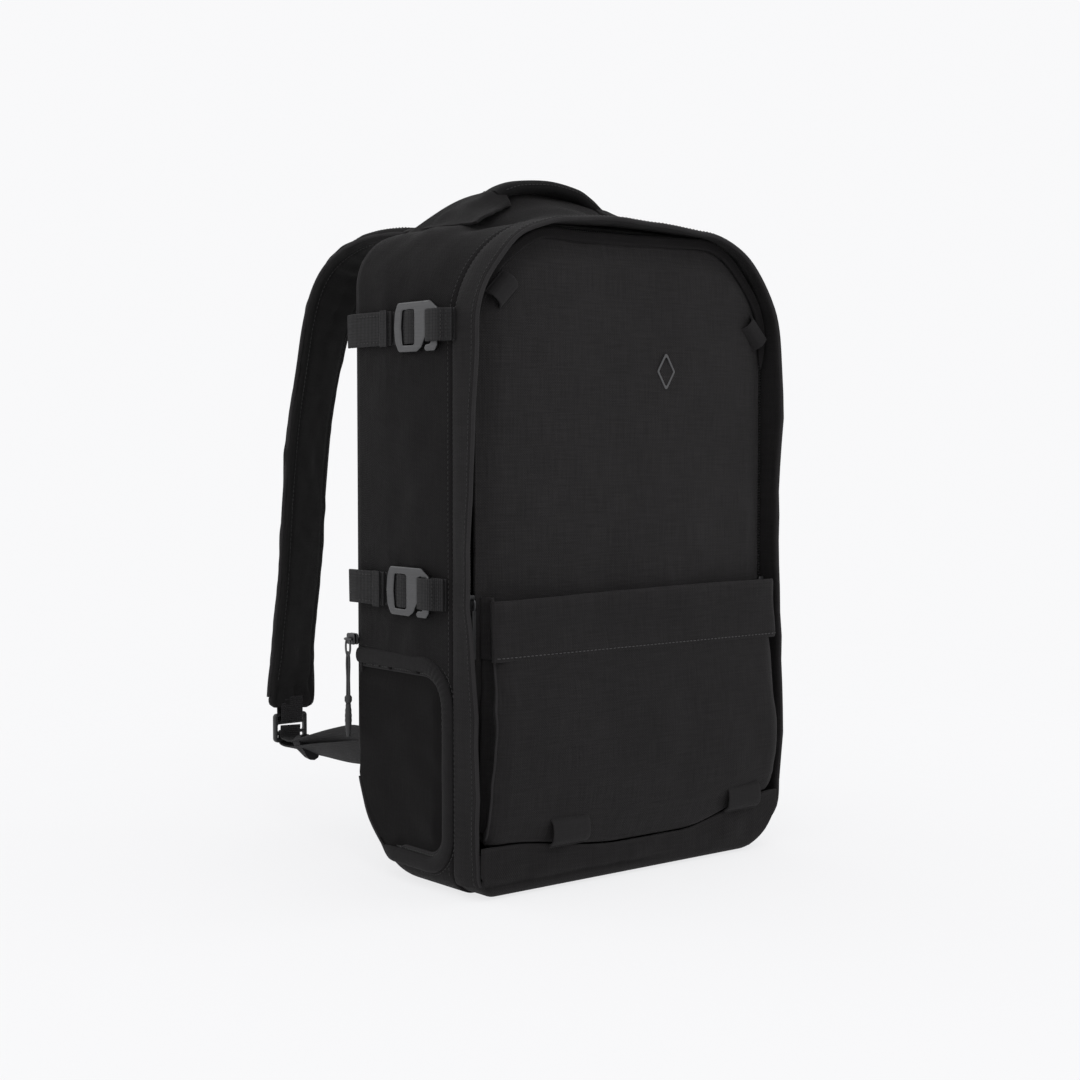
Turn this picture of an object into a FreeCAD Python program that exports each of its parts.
import math
import os

from FreeCAD import Vector
import Part

# Travel backpack, millimetres. Origin: centre of the base, on the ground.
# +X is the viewer's right when facing the front, the front faces -Y, +Z is up.

# ---- driving dimensions ----
WIDTH = 300.0            # side to side
FRONT_TOP = 477.0        # top of the front hood at its corners
BACK_TOP = 474.0         # top of the back at its corners
BACK_CROWN = 34.0        # how far the back rises above its corners
FRONT_CROWN = 2.5
RIM_EDGE_Y = -71.0       # free edge of the front hood
SEAM_Y = -45.0           # seam between the hood and the side walls
BACK_Y = 75.0            # outer face of the back panel
WALL = 3.0               # padded fabric wall
FRONT_TOP_RADIUS = 85.0
BACK_TOP_RADIUS = 42.0
LOW_RADIUS = 45.0        # bottom corners, seen from the front
HEEL_RADIUS = 32.0       # bottom corner, seen from the side
BASE_SPLIT_Z = 70.0      # top of the base tub
GUSSET_HALF = 88.0       # the roof reaches this far from the middle
GAP = 1.0                # clearance between pieces that move apart
FAR = 600.0              # well outside the pack

TOE_X = WIDTH / 2 - LOW_RADIUS + 6   # the hood's ends at the bottom
TOE_TOP = 60.0                       # above this the hood reaches full depth
ZIP_WIDTH = 3.0
MAIN_ZIP_Y = (-52.0, -50.0)

PANEL_INSET = 11.0       # hood outline to front panel outline
PANEL_Y = -61.0          # outer face of the front panel
PANEL_THICK = 7.0
PANEL_LOW_RADIUS = 24.0
LID_HINGE_Y = -73.5      # bottom seam of the front panel
LID_HINGE_Z = 27.0
LID_LOW_Z = LID_HINGE_Z + GAP

EMBLEM_X = 32.0
EMBLEM_Z = 371.0
EMBLEM_RADIUS = 15.0
EMBLEM_THICK = 1.0

POCKET_HALF = 135.0
POCKET_WALL = 3.0
POCKET_SEAM_Z = 168.0    # bottom of the pocket's hem band
POCKET_TOP_Z = 212.0
POCKET_BULGE_Y = -84.0
POCKET_BULGE_Z = (58.0, 122.0)
HEM_WALL = 4.0
HEM_LOW_Y = -79.5
HEM_TOP_Y = -76.5

DOOR_FRONT_Y = -36.0
DOOR_BACK_Y = 73.0
DOOR_LOW_Z = 16.0
DOOR_TOP_Z = 156.0
DOOR_RADII = (26.0, 20.0)    # front corners: top, bottom
DOOR_GAP = 3.0
COVER_WIDTH = 10.0           # raised cover over the side zip
COVER_HEIGHT = 4.5

HOOK_HEIGHTS = {"upper": 400.0, "lower": 212.0}   # centre of each compression strap
HOOK_CENTRE_Y = {"upper": -6.0, "lower": 5.0}
WEBBING = 24.0
WEBBING_THICK = 1.8
HOOK_THICK = 3.0
HOOK_GAP = 0.6               # play between hook and webbing

STRAP_WIDTH = 48.0
STRAP_THICK = 8.6
STRAP_SWING_ROOM = 1.6   # between the yoke and the strap's root, which turns beside it
STRAP_PATH = [(-52, 84, 471), (-58, 120, 478), (-64, 165, 474), (-72, 203, 452),
              (-80, 229, 412), (-88, 240, 350), (-95, 243, 280), (-101, 243, 210),
              (-106, 241, 150), (-110, 238, 102)]
LOCK_AXIS = Vector(-111, 237, 92)
LOCK_HALF = 15.5
LOCK_LEG = 3.0
LOCK_DEPTH = 5.0
LOCK_BAR_RADIUS = 1.5
LOCK_BAR_DROPS = (0.0, 12.0, 20.0)
LOCK_TAB_HALF = 11.0
LOCK_TAB_THICK = 1.4
LOWER_WEBBING_PATH = [(-112, 237, 66), (-115, 214, 66), (-121, 172, 71),
                      (-127, 126, 77), (-132, 82, 84)]
LOWER_WEBBING_TURNS = [0, 12, 35, 60, 80]
LOWER_WEBBING_WIDTH = 20.0
LOWER_WEBBING_THICK = 2.4
ANCHOR_X = (122.0, 140.0)
ANCHOR_Z = (66.0, 100.0)
ANCHOR_THICK = 5.8

HANDLE_HALF = 66.0
HANDLE_Y = 40.0
HANDLE_DEPTH = 24.0
HANDLE_TOP_Z = 521.0
HANDLE_THICK = 7.0
HANDLE_ROOT_Z = 503.0
HANDLE_PATCH = 2.5
HANDLE_PATCH_LENGTH = 23.0

BACK_GAP = 0.2           # between the back panel and what is sewn on it
PAD_THICK = 9.0
YOKE_THICK = 5.0
YOKE_HALF = 88.0
YOKE_Z = (440.0, 482.0)
UPPER_PAD_X = (12.0, 112.0)
UPPER_PAD_Z = (302.0, 428.0)
LUMBAR_HALF = 112.0
LUMBAR_Z = (92.0, 190.0)
SLEEVE_HALF = 126.0
SLEEVE_Z = (202.0, 290.0)
SLEEVE_THICK = 3.0
SLEEVE_CLEARANCE = 11.0

SIDES = {"left": -1, "right": 1}
parts = {}


# ---- drawing tools ----

def box(x0, x1, y0, y1, z0, z1):
    low = Vector(min(x0, x1), min(y0, y1), min(z0, z1))
    return Part.makeBox(abs(x1 - x0), abs(y1 - y0), abs(z1 - z0), low)


def rod(radius, length, x, y, z, direction):
    return Part.makeCylinder(radius, length, Vector(x, y, z), direction)


def fuse(shapes):
    """One solid from touching or overlapping solids."""
    shapes = list(shapes)
    return shapes[0].multiFuse(shapes[1:]).removeSplitter()


def mirrored(shape):
    return shape.mirror(Vector(0, 0, 0), Vector(1, 0, 0))


def on_side(shape, side):
    """Shapes are drawn on the left, at -X. The right one is the mirror image."""
    return shape if side == "left" else mirrored(shape)


def rounded_path(points, radii):
    """Closed wire of lines and tangent arcs through 3D points, one radius per corner."""
    count = len(points)
    starts, ends, edges = [], [], []
    for i, point in enumerate(points):
        back = (points[i - 1] - point).normalize()
        ahead = (points[(i + 1) % count] - point).normalize()
        half_angle = math.acos(max(-1.0, min(1.0, back.dot(ahead)))) / 2
        reach = radii[i] / math.tan(half_angle)
        start = point + back * reach
        end = point + ahead * reach
        starts.append(start)
        ends.append(end)
        if radii[i] > 0:
            inward = (back + ahead).normalize()
            middle = point + inward * (radii[i] / math.sin(half_angle) - radii[i])
            edges.append(Part.Arc(start, middle, end).toShape())
    for i in range(count):
        if (starts[(i + 1) % count] - ends[i]).Length > 1e-6:
            edges.append(Part.makeLine(ends[i], starts[(i + 1) % count]))
    return Part.Wire(Part.__sortEdges__(edges))


def side_prism(points, radii, x0, x1):
    """A (y, z) outline with rounded corners, extruded along X."""
    wire = rounded_path([Vector(x0, y, z) for y, z in points], radii)
    return Part.Face(wire).extrude(Vector(x1 - x0, 0, 0))


def front_prism(points, radii, y0, y1):
    """An (x, z) outline with rounded corners, extruded along Y."""
    wire = rounded_path([Vector(x, y0, z) for x, z in points], radii)
    return Part.Face(wire).extrude(Vector(0, y1 - y0, 0))


def floor_prism(points, radii, z0, z1):
    """An (x, y) outline with rounded corners, extruded along Z."""
    wire = rounded_path([Vector(x, y, z0) for x, y in points], radii)
    return Part.Face(wire).extrude(Vector(0, 0, z1 - z0))


def rectangle(x0, x1, z0, z1):
    """Corners anticlockwise from the lower left."""
    return [(x0, z0), (x1, z0), (x1, z1), (x0, z1)]


def swept_band(path, width, thick, width_turns):
    """A flat band along a path: ruled between rectangular sections.

    width_turns gives, per point, how far the width direction turns from X to Z, in degrees.
    """
    sections = []
    points = [Vector(*p) for p in path]
    for i, point in enumerate(points):
        before = points[max(i - 1, 0)]
        after = points[min(i + 1, len(points) - 1)]
        along = (after - before).normalize()
        turn = math.radians(width_turns[i])
        wide = Vector(math.cos(turn), 0, math.sin(turn))
        wide = (wide - along * wide.dot(along)).normalize()
        normal = along.cross(wide)
        corners = [point + wide * (a * width / 2) + normal * (b * thick / 2)
                   for a, b in ((-1, -1), (1, -1), (1, 1), (-1, 1))]
        sections.append(Part.makePolygon(corners + corners[:1]))
    return Part.makeLoft(sections, True, True)


# ---- outer form ----

def outline(y, half, low, top, low_radius, top_radius, crown):
    """The pack seen from the front at one depth: flat foot, round corners, crowned top."""
    bend = math.sqrt(0.5)

    def corner(sign_x, sign_z, radius, level):
        centre = Vector(sign_x * (half - radius), y, level - sign_z * radius)
        side = centre + Vector(sign_x * radius, 0, 0)
        middle = centre + Vector(sign_x * radius * bend, 0, sign_z * radius * bend)
        end = centre + Vector(0, 0, sign_z * radius)
        return Part.Arc(side, middle, end).toShape(), side, end

    low_right, low_right_side, low_right_end = corner(1, -1, low_radius, low)
    low_left, low_left_side, low_left_end = corner(-1, -1, low_radius, low)
    top_right, top_right_side, top_right_end = corner(1, 1, top_radius, top)
    top_left, top_left_side, top_left_end = corner(-1, 1, top_radius, top)
    edges = [
        Part.makeLine(low_left_end, low_right_end), low_right,
        Part.makeLine(low_right_side, top_right_side), top_right,
        Part.Arc(top_right_end, Vector(0, y, top + crown), top_left_end).toShape(),
        top_left, Part.makeLine(top_left_side, low_left_side), low_left,
    ]
    return Part.Wire(edges)


def front_outline(y, inset):
    return outline(y, WIDTH / 2 - inset, inset, FRONT_TOP - inset,
                   LOW_RADIUS - inset, FRONT_TOP_RADIUS - inset, FRONT_CROWN)


def back_outline(y, inset):
    return outline(y, WIDTH / 2 - inset, inset, BACK_TOP - inset,
                   LOW_RADIUS - inset, BACK_TOP_RADIUS - inset, BACK_CROWN)


def body_solid(inset, back_y):
    """The pack's body from the seam to the back, shrunk by inset (negative grows it)."""
    loft = Part.makeLoft([front_outline(SEAM_Y, inset), back_outline(BACK_Y, inset)], True, True)
    front = SEAM_Y - GAP
    heel = side_prism([(front, inset), (back_y, inset), (back_y, FAR), (front, FAR)],
                      [0, HEEL_RADIUS - inset, 0, 0], -FAR, FAR)
    return loft.common(heel)


def front_slab(inset, y0, y1):
    return Part.Face(front_outline(y0, inset)).extrude(Vector(0, y1 - y0, 0))


def rim_band(outer_inset, inner_inset, y0, y1):
    """A strip that follows the front outline, between two insets."""
    return front_slab(outer_inset, y0, y1).cut(front_slab(inner_inset, y0, y1))


# ---- walls and what is inside them ----

def door_prism(margin):
    """The side door's opening grown by margin, through the left wall."""
    points = [(DOOR_FRONT_Y - margin, DOOR_LOW_Z - margin), (DOOR_BACK_Y, DOOR_LOW_Z - margin),
              (DOOR_BACK_Y, DOOR_TOP_Z + margin), (DOOR_FRONT_Y - margin, DOOR_TOP_Z + margin)]
    top_radius, low_radius = DOOR_RADII
    radii = [low_radius + margin, 0, 0, top_radius + margin]
    return side_prism(points, radii, -WIDTH, -WIDTH / 4)


def make_walls():
    shell = body_solid(0, BACK_Y).cut(body_solid(WALL, BACK_Y - WALL))
    for side in SIDES:
        shell = shell.cut(on_side(door_prism(0), side))
    back_cut = BACK_Y - WALL
    parts["back_panel"] = shell.common(box(-FAR, FAR, back_cut, FAR, BASE_SPLIT_Z, FAR))
    parts["base_tub"] = shell.common(box(-FAR, FAR, -FAR, FAR, -FAR, BASE_SPLIT_Z))
    parts["top_gusset"] = shell.common(
        box(-GUSSET_HALF, GUSSET_HALF, -FAR, back_cut, FRONT_TOP / 2, FAR))
    wall = shell.common(box(-FAR, -GUSSET_HALF, -FAR, back_cut, BASE_SPLIT_Z, FAR))
    for side in SIDES:
        parts["side_panel_" + side] = on_side(wall, side)


def make_rim():
    """Hood around the front, with the outer half of the main zip behind its edge."""
    hood = rim_band(0, WALL, RIM_EDGE_Y, SEAM_Y)
    parts["rim_hood"] = hood.cut(box(-TOE_X, TOE_X, -FAR, FAR, -FAR, TOE_TOP))
    tape = rim_band(WALL, WALL + ZIP_WIDTH, *MAIN_ZIP_Y)
    parts["main_zip_tape"] = tape.cut(box(-FAR, FAR, -FAR, FAR, -FAR, LID_HINGE_Z))


def make_bottom_band():
    """Front strip of the base, with its two corners tucked inside the ends of the hood."""
    half = TOE_X - GAP
    face_y = LID_HINGE_Y + 0.5
    top = LID_HINGE_Z - GAP
    roll = 14.0
    profile = [(SEAM_Y, 0), (face_y, 0), (face_y, top), (face_y + WALL, top),
               (face_y + WALL, WALL), (SEAM_Y, WALL)]
    middle = side_prism(profile, [0, roll, 0, 0, roll - WALL, 0], -half, half)
    tray = front_slab(WALL + 0.3, face_y, SEAM_Y).cut(
        front_slab(2 * WALL, face_y + WALL, SEAM_Y + GAP))
    below = box(-FAR, FAR, -FAR, SEAM_Y, 0, top)
    overlap = 0.5
    corners = tray.common(below).cut(box(overlap - half, half - overlap, -FAR, FAR, -GAP, FAR))
    parts["bottom_band"] = fuse([middle] + corners.Solids)


def make_stiffeners():
    """Plastic sheet inside the back and board on the base."""
    sheet_half, sheet_low, sheet_top, sheet_thick = 118, 84, 462, 1.0
    low_corner, high_corner = 20, 34
    back = BACK_Y - WALL - 0.3
    parts["frame_sheet"] = front_prism(rectangle(-sheet_half, sheet_half, sheet_low, sheet_top),
                                       [low_corner, low_corner, high_corner, high_corner],
                                       back - sheet_thick, back)
    board_half, board_back, board_thick, board_corner = 98, 26, 2.0, 12
    level = WALL + 0.4
    parts["base_board"] = floor_prism(rectangle(-board_half, board_half, SEAM_Y + 4, board_back),
                                      [board_corner] * 4, level, level + board_thick)


def make_laptop_sleeve():
    half, front, back, low, top, thick = 116, 46, 68.5, 52, 330, 2.6
    outer = box(-half, half, front, back, low, top)
    inner = box(thick - half, half - thick, front + thick, FAR, low + thick, FAR)
    parts["laptop_sleeve"] = outer.cut(inner)


def make_side_pocket_liners():
    """Thin cups behind the side doors, open towards the door."""
    depth_x, back, margin, thick = -78, 44, 2, 2
    cup = box(-WIDTH, depth_x, DOOR_FRONT_Y + margin, back, DOOR_LOW_Z + margin, DOOR_TOP_Z - margin)
    hollow = box(-WIDTH, depth_x - thick, DOOR_FRONT_Y + margin + thick, back - thick,
                 DOOR_LOW_Z + margin + thick, DOOR_TOP_Z - margin - thick)
    liner = cup.cut(hollow).common(body_solid(WALL + 0.5, BACK_Y - WALL))
    for side in SIDES:
        parts["side_pocket_liner_" + side] = on_side(liner, side)


# ---- front lid: the panel that opens forward, with its pocket ----

def panel_prism(inset, y0, y1):
    half = WIDTH / 2 - inset
    top_radius = FRONT_TOP_RADIUS - inset
    return front_prism(rectangle(-half, half, LID_LOW_Z, FRONT_TOP - inset),
                       [PANEL_LOW_RADIUS, PANEL_LOW_RADIUS, top_radius, top_radius], y0, y1)


def make_front_panel():
    back = PANEL_Y + PANEL_THICK
    parts["front_panel"] = panel_prism(PANEL_INSET, PANEL_Y, back)
    zip_front, zip_back = MAIN_ZIP_Y[0] - 0.5, MAIN_ZIP_Y[1]
    zip_reach, zip_root, zip_low = 3.5, 10, 45
    tape = panel_prism(PANEL_INSET - zip_reach, zip_front, zip_back)
    tape = tape.cut(panel_prism(PANEL_INSET + zip_root, zip_front - GAP, zip_back + GAP))
    parts["lid_zip_tape"] = tape.cut(box(-FAR, FAR, -FAR, FAR, 0, zip_low))
    mesh_half, mesh_low, mesh_top, mesh_inset = 110, 60, 330, 12
    mesh = panel_prism(PANEL_INSET + mesh_inset, back + 0.3, zip_front + GAP)
    parts["lid_mesh_pocket"] = mesh.common(box(-mesh_half, mesh_half, -FAR, FAR, mesh_low, mesh_top))
    parts["emblem"] = rod(EMBLEM_RADIUS, EMBLEM_THICK, EMBLEM_X, PANEL_Y - EMBLEM_THICK, EMBLEM_Z,
                          Vector(0, 1, 0))


def make_front_pocket():
    """Bellows pocket: front wall, two side gussets and a foot, open at the top."""
    face = PANEL_Y - 0.3
    foot_y = LID_HINGE_Y + 2
    mouth_y = -78.0
    belly_low, belly_top = POCKET_BULGE_Z
    outer = side_prism([(face, LID_LOW_Z), (foot_y, LID_LOW_Z), (POCKET_BULGE_Y, belly_low),
                        (POCKET_BULGE_Y, belly_top), (mouth_y, POCKET_SEAM_Z), (face, POCKET_SEAM_Z)],
                       [0, 5, 20, 30, 0, 0], -POCKET_HALF, POCKET_HALF)
    wall = POCKET_WALL
    inner = side_prism([(face + GAP, LID_LOW_Z + wall), (foot_y + wall, LID_LOW_Z + wall),
                        (POCKET_BULGE_Y + wall, belly_low + 2), (POCKET_BULGE_Y + wall, belly_top),
                        (mouth_y + wall, POCKET_SEAM_Z + GAP), (face + GAP, POCKET_SEAM_Z + GAP)],
                       [0, 3, 17, 30, 0, 0], wall - POCKET_HALF, POCKET_HALF - wall)
    parts["front_pocket"] = outer.cut(inner)


def make_pocket_hem():
    """Stiff doubled band around the pocket's mouth."""
    face = PANEL_Y - 0.3
    half = POCKET_HALF + GAP
    outer = side_prism([(face, POCKET_SEAM_Z), (HEM_LOW_Y, POCKET_SEAM_Z),
                        (HEM_TOP_Y, POCKET_TOP_Z), (face, POCKET_TOP_Z)], [0, 0, 2, 0], -half, half)
    inner = side_prism([(face + GAP, POCKET_SEAM_Z - GAP), (HEM_LOW_Y + HEM_WALL, POCKET_SEAM_Z - GAP),
                        (HEM_TOP_Y + HEM_WALL, POCKET_TOP_Z + GAP), (face + GAP, POCKET_TOP_Z + GAP)],
                       [0, 0, 0, 0], HEM_WALL - half, half - HEM_WALL)
    parts["pocket_hem"] = outer.cut(inner)


def webbing_loop(length, width, depth):
    """A folded webbing loop that stands on the XZ plane: the hole runs along X."""
    outer = box(-length / 2, length / 2, -depth, 0, -width / 2, width / 2)
    hole = box(-length, length, WEBBING_THICK - depth, -WEBBING_THICK / 2,
               WEBBING_THICK - width / 2, width / 2 - WEBBING_THICK)
    return outer.cut(hole)


def placed_on_front(shape, x, y, z, turn):
    shape.rotate(Vector(0, 0, 0), Vector(0, 1, 0), turn)
    shape.translate(Vector(x, y, z))
    return shape


def make_accessory_loops():
    """Two folded tabs at the panel's top corners and two low tunnels at the pocket's foot."""
    face = PANEL_Y - 0.2
    parts["loop_top_left"] = placed_on_front(webbing_loop(20, 26, 8), -115, face, 424, -38)
    parts["loop_top_right"] = placed_on_front(webbing_loop(18, 24, 7), 120, face, 403, 38)
    sunk = POCKET_BULGE_Y + 3.5
    for name, x, z in (("loop_low_left", -73, 43), ("loop_low_right", 101, 46)):
        loop = placed_on_front(webbing_loop(34, 18, 8), x, sunk, z, 0)
        parts[name] = loop.cut(parts["front_pocket"])


# ---- side doors with their zips ----

def make_side_doors():
    wall = body_solid(0, BACK_Y).cut(body_solid(WALL, BACK_Y))
    raised = body_solid(-COVER_HEIGHT, BACK_Y).cut(body_solid(0, BACK_Y))
    flap = wall.common(door_prism(-DOOR_GAP)).common(box(-FAR, 0, -FAR, DOOR_BACK_Y - 1.5, 0, FAR))
    zip_ring = wall.common(door_prism(0)).cut(door_prism(GAP - DOOR_GAP))
    cover = raised.common(door_prism(COVER_WIDTH)).cut(door_prism(-0.5))
    cover = cover.common(box(-FAR, 0, SEAM_Y - 2, DOOR_BACK_Y - 3.5, 0, FAR))
    for side in SIDES:
        parts["side_door_" + side] = on_side(flap, side)
        parts["door_zip_cover_" + side] = on_side(cover, side)
    parts["door_zips"] = Part.makeCompound([on_side(zip_ring, side) for side in SIDES])


def make_door_sliders():
    """Zip slider at the back top corner of each side door, with its hanging cord pull."""
    wall_x = -WIDTH / 2
    slider_z = DOOR_TOP_Z + COVER_WIDTH + GAP
    eye_x, eye_y, eye_z = wall_x - 7.6, 72.5, slider_z + 5
    along_y, along_z = Vector(0, 1, 0), Vector(0, 0, 1)
    body = box(wall_x - 4.9, wall_x - 0.4, 71, 82, slider_z, slider_z + 10)
    ears = [box(wall_x - 9.2, wall_x - 4.5, y, y + 1.5, eye_z - 1.5, eye_z + 1.5) for y in (eye_y, 79.0)]
    slider = fuse([body] + ears + [rod(0.9, 8, eye_x, eye_y, eye_z, along_y)])
    plate = box(eye_x - 1.2, eye_x + 1.2, 75, 78, eye_z - 16, eye_z + 2.2)
    plate = plate.cut(rod(1.1, 8, eye_x, eye_y, eye_z, along_y))
    cord = rod(1.3, 34, eye_x, 76.5, eye_z - 50, along_z)
    grip = rod(2.8, 24, eye_x, 76.5, eye_z - 74, along_z)
    for side in SIDES:
        parts["door_slider_" + side] = on_side(slider, side)
        parts["door_pull_" + side] = on_side(fuse([plate, cord, grip]), side)


def make_main_sliders():
    """Main zip sliders in the channel between the hood and the front panel."""
    channel_x = -WIDTH / 2 + WALL
    slider_low, slider_top = 200, 213
    body = box(channel_x + 0.8, channel_x + 7.2, -58.5, -53, slider_low, slider_top)
    lug = box(channel_x + 2.2, channel_x + 5.8, -61.5, -58.5, slider_low + 3, slider_low + 6)
    pull = box(channel_x + 2.4, channel_x + 5.6, -61.2, -59.2, slider_low - 32, slider_low + 2.4)
    for side in SIDES:
        parts["main_slider_" + side] = on_side(fuse([body, lug]), side)
        parts["main_pull_" + side] = on_side(pull, side)


# ---- compression straps with their hooks ----

def hook_plate(centre_y, centre_z, x_face):
    """Flat hook: a framed slot for the strap at the back, an open prong at the front."""
    def bar(y0, y1, z0, z1):
        return box(x_face, x_face - HOOK_THICK, centre_y + y0, centre_y + y1,
                   centre_z + z0, centre_z + z1)

    frame = [(-3, 5, -16, 17), (16, 22, -13, 14), (-3, 20, -17, -12.5), (-3, 20, 13, 17)]
    prong = [(-33, 5, 13, 17), (-33, -21.5, -18, 17)]
    return fuse([bar(*sizes) for sizes in frame + prong])


def make_compression_straps():
    skin_x = -WIDTH / 2 - 0.3
    plate_x = skin_x - WEBBING_THICK - HOOK_GAP
    outer_x = plate_x - HOOK_THICK - HOOK_GAP
    half = WEBBING / 2
    back = BACK_Y - WALL
    loops = {side: [] for side in SIDES}
    for level, z in HOOK_HEIGHTS.items():
        y = HOOK_CENTRE_Y[level]
        strap = fuse([box(skin_x, skin_x - WEBBING_THICK, y + 1, back, z - half, z + half),
                      box(skin_x, skin_x - 2 * WEBBING_THICK, y + 26, back, z - half, z + half)])
        outer = box(skin_x, outer_x - WEBBING_THICK, y - 44, y - 18.5, z - half + 1, z + half - 1)
        hollow = box(plate_x + 0.5, outer_x, y - 40, y - 20, z - half, z + half)
        for side in SIDES:
            tag = level + "_" + side
            parts["compression_strap_" + tag] = on_side(strap, side)
            parts["hook_" + tag] = on_side(hook_plate(y, z, plate_x), side)
            loops[side].append(on_side(outer.cut(hollow), side))
    for side in SIDES:
        parts["hook_loops_" + side] = Part.makeCompound(loops[side])


# ---- carrying: grab handle, shoulder straps, back padding ----

def make_grab_handle():
    """Low padded arch across the top, sewn down at both ends."""
    front_y = HANDLE_Y - HANDLE_DEPTH / 2

    def arch(drop):
        ends = [Vector(s * HANDLE_HALF, front_y, HANDLE_ROOT_Z - drop) for s in (-1, 1)]
        return ends, Vector(0, front_y, HANDLE_TOP_Z - drop)

    upper, upper_top = arch(0)
    lower, lower_top = arch(HANDLE_THICK)
    edges = [Part.Arc(upper[0], upper_top, upper[1]).toShape(), Part.makeLine(upper[1], lower[1]),
             Part.Arc(lower[1], lower_top, lower[0]).toShape(), Part.makeLine(lower[0], upper[0])]
    parts["grab_handle"] = Part.Face(Part.Wire(edges)).extrude(Vector(0, HANDLE_DEPTH, 0))
    patch = body_solid(-HANDLE_PATCH, BACK_Y).cut(body_solid(0, BACK_Y))
    root = -HANDLE_HALF - GAP
    reach = HANDLE_DEPTH / 2 + GAP
    tab = patch.common(box(root - HANDLE_PATCH_LENGTH, root, HANDLE_Y - reach, HANDLE_Y + reach,
                           FRONT_TOP / 2, FAR))
    parts["handle_tabs"] = Part.makeCompound([tab, mirrored(tab)])


def make_ladder_lock():
    """Adjuster frame with three bars."""
    axis = LOCK_AXIS
    top, foot = axis.z + 2, axis.z - 22
    inner = LOCK_HALF - LOCK_LEG
    legs = [box(axis.x + s * inner, axis.x + s * LOCK_HALF, axis.y - LOCK_DEPTH / 2,
                axis.y + LOCK_DEPTH / 2, foot, top) for s in (-1, 1)]
    length = 2 * LOCK_HALF - LOCK_LEG
    bars = [rod(LOCK_BAR_RADIUS, length, axis.x - length / 2, axis.y, axis.z - drop, Vector(1, 0, 0))
            for drop in LOCK_BAR_DROPS]
    lock = fuse(legs + bars)
    for side in SIDES:
        parts["ladder_lock_" + side] = on_side(lock, side)


def make_shoulder_straps():
    """Padded strap that ends in a webbing tab folded round the adjuster's top bar."""
    strap = swept_band(STRAP_PATH, STRAP_WIDTH, STRAP_THICK, [0] * len(STRAP_PATH))
    yoke_face = BACK_Y + BACK_GAP + YOKE_THICK + STRAP_SWING_ROOM
    strap = strap.cut(box(-FAR, FAR, 0, yoke_face, 0, FAR))
    axis = LOCK_AXIS
    gap = LOCK_DEPTH / 2 - 0.1
    half = LOCK_TAB_HALF
    tab = [box(axis.x - half, axis.x + half, axis.y + s * gap, axis.y + s * (gap + LOCK_TAB_THICK),
               axis.z - 5, axis.z + 8) for s in (-1, 1)]
    outer = gap + LOCK_TAB_THICK
    bridge = box(axis.x - half, axis.x + half, axis.y - outer, axis.y + outer, axis.z + 4, axis.z + 12)
    strap = fuse([strap, bridge] + tab)
    for side in SIDES:
        parts["shoulder_strap_" + side] = on_side(strap, side)


def make_lower_webbing():
    """Adjusting webbing from each ladder lock to its anchor at the pack's rear corner."""
    near = BACK_Y + BACK_GAP
    far = near + ANCHOR_THICK
    anchor = side_prism([(near, ANCHOR_Z[0]), (far, ANCHOR_Z[0]), (far, ANCHOR_Z[1]), (near, ANCHOR_Z[1])],
                        [0, 2, 2, 0], -ANCHOR_X[1], -ANCHOR_X[0])
    webbing = swept_band(LOWER_WEBBING_PATH, LOWER_WEBBING_WIDTH, LOWER_WEBBING_THICK, LOWER_WEBBING_TURNS)
    webbing = webbing.cut(box(-FAR, FAR, 0, far + 0.2, 0, FAR))
    for side in SIDES:
        parts["strap_webbing_" + side] = on_side(webbing, side)
    parts["webbing_anchors"] = Part.makeCompound([anchor, mirrored(anchor)])


def make_back_padding():
    near = BACK_Y + BACK_GAP
    parts["strap_yoke"] = front_prism(rectangle(-YOKE_HALF, YOKE_HALF, *YOKE_Z),
                                      [8, 8, 14, 14], near, near + YOKE_THICK)
    inner, outer = UPPER_PAD_X
    upper = front_prism(rectangle(-outer, -inner, *UPPER_PAD_Z), [14] * 4, near, near + PAD_THICK)
    parts["back_pads"] = Part.makeCompound([upper, mirrored(upper)])
    parts["lumbar_pad"] = front_prism(rectangle(-LUMBAR_HALF, LUMBAR_HALF, *LUMBAR_Z),
                                      [20, 20, 14, 14], near, near + PAD_THICK)


def make_luggage_sleeve():
    """Flat band across the back, open above and below, for a trolley's handle."""
    near = BACK_Y + BACK_GAP
    face = near + SLEEVE_CLEARANCE
    band = box(-SLEEVE_HALF, SLEEVE_HALF, face, face + SLEEVE_THICK, *SLEEVE_Z)
    feet = [box(s * (SLEEVE_HALF - SLEEVE_THICK), s * SLEEVE_HALF, near, face + GAP, *SLEEVE_Z)
            for s in (-1, 1)]
    parts["luggage_sleeve"] = fuse([band] + feet)


def export_all():
    os.makedirs("parts", exist_ok=True)
    for name, shape in parts.items():
        assert shape.isValid(), name
        assert shape.Volume > 1.0, name
        shape.exportStep("parts/" + name + ".step")
        print("%-30s solids %d  cm3 %.1f" % (name, len(shape.Solids), shape.Volume / 1000))
    print(len(parts), "nodes")


make_walls()
make_rim()
make_bottom_band()
make_stiffeners()
make_laptop_sleeve()
make_side_pocket_liners()
make_front_panel()
make_front_pocket()
make_pocket_hem()
make_accessory_loops()
make_side_doors()
make_door_sliders()
make_main_sliders()
make_compression_straps()
make_grab_handle()
make_ladder_lock()
make_shoulder_straps()
make_lower_webbing()
make_back_padding()
make_luggage_sleeve()
export_all()
